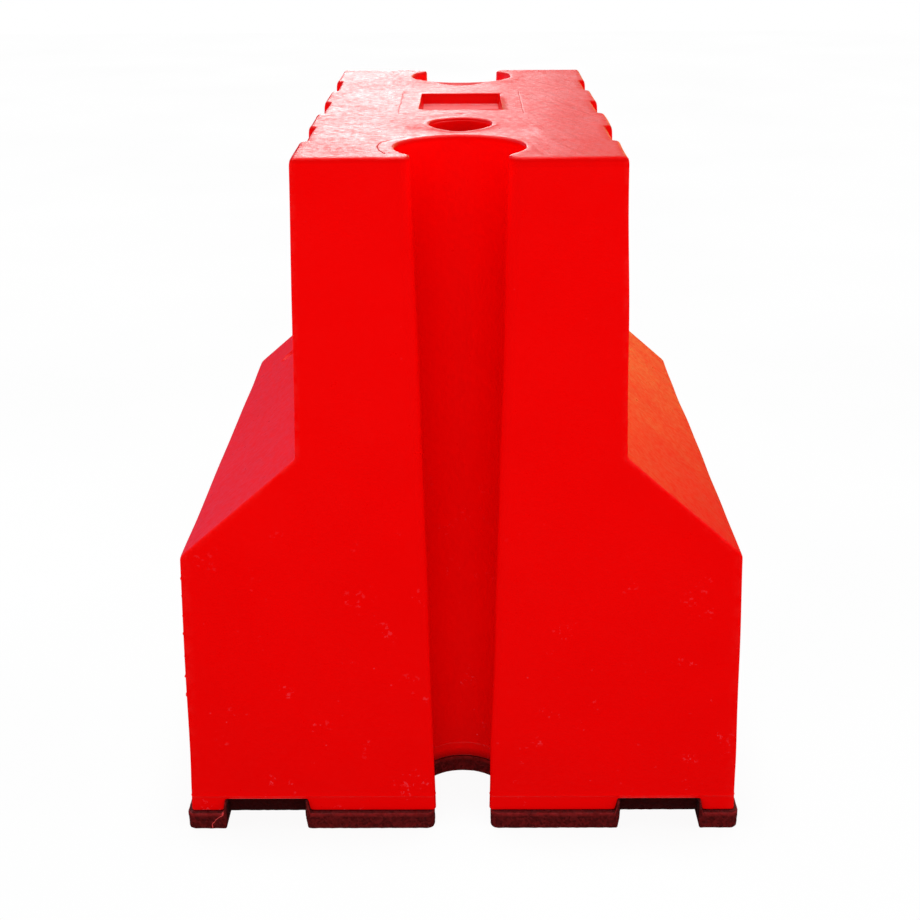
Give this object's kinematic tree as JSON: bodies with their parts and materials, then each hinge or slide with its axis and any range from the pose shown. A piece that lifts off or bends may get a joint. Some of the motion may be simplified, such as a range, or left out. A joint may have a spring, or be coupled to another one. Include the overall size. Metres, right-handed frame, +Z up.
{
  "type": "water filled barrier",
  "caption": "Hollow red plastic traffic barrier with a stepped section, an upright coupling socket in each end, sunk filler and drain screws, and a bolted rubber base pad.",
  "frame": {"origin": "middle of the rubber pad's outline, on the ground", "axes": "+Z up, +Y along the barrier from the front end to the rear end, +X across it towards the drain side"},
  "size_m": [0.66, 0.692, 0.8],
  "materials": {
    "red_polyethylene": "rotationally moulded red polyethylene, satin, slightly translucent at thin edges",
    "base_rubber": "pressed recycled rubber crumb, dark maroon-black, matt",
    "black_plastic": "black moulded plastic, fine texture",
    "seal_rubber": "black rubber, matt",
    "brass": "turned brass, satin",
    "zinc_steel": "zinc-plated steel"
  },
  "bodies": {
    "tank": {"tank_shell": "red_polyethylene", "base_pad": "base_rubber", "filler_neck": "black_plastic", "drain_bush": "brass", "pad_insert_1": "brass", "pad_washer_1": "zinc_steel", "pad_bolt_1": "zinc_steel", "pad_insert_2": "brass", "pad_washer_2": "zinc_steel", "pad_bolt_2": "zinc_steel", "pad_insert_3": "brass", "pad_washer_3": "zinc_steel", "pad_bolt_3": "zinc_steel", "pad_insert_4": "brass", "pad_washer_4": "zinc_steel", "pad_bolt_4": "zinc_steel", "pad_insert_5": "brass", "pad_washer_5": "zinc_steel", "pad_bolt_5": "zinc_steel", "pad_insert_6": "brass", "pad_washer_6": "zinc_steel", "pad_bolt_6": "zinc_steel", "pad_insert_7": "brass", "pad_washer_7": "zinc_steel", "pad_bolt_7": "zinc_steel", "pad_insert_8": "brass", "pad_washer_8": "zinc_steel", "pad_bolt_8": "zinc_steel"},
    "filler_lift": {"filler_gasket": "seal_rubber"},
    "filler_cap": {"filler_cap": "black_plastic"},
    "drain_slide": {"drain_gasket": "seal_rubber"},
    "drain_plug": {"drain_plug": "black_plastic"}
  },
  "joints": [
    {"name": "filler_cap_rise", "type": "slide", "parent": "tank", "child": "filler_lift", "axis": [0, 0, 1], "range_m": [0, 0.018]},
    {"name": "filler_cap_turn", "type": "hinge", "parent": "filler_lift", "child": "filler_cap", "pos_m": [0, -0.124, 0.778], "axis": [0, 0, 1], "range_deg": [0, 1080]},
    {"name": "drain_plug_travel", "type": "slide", "parent": "tank", "child": "drain_slide", "axis": [1, 0, 0], "range_m": [0, 0.018]},
    {"name": "drain_plug_turn", "type": "hinge", "parent": "drain_slide", "child": "drain_plug", "pos_m": [0.304, 0, 0.074], "axis": [1, 0, 0], "range_deg": [0, 2160]}
  ],
  "couplings": [
    {"joint": "filler_cap_rise", "follows": "filler_cap_turn", "m_per_rad": 0.0009549},
    {"joint": "drain_plug_travel", "follows": "drain_plug_turn", "m_per_rad": 0.00047746}
  ]
}
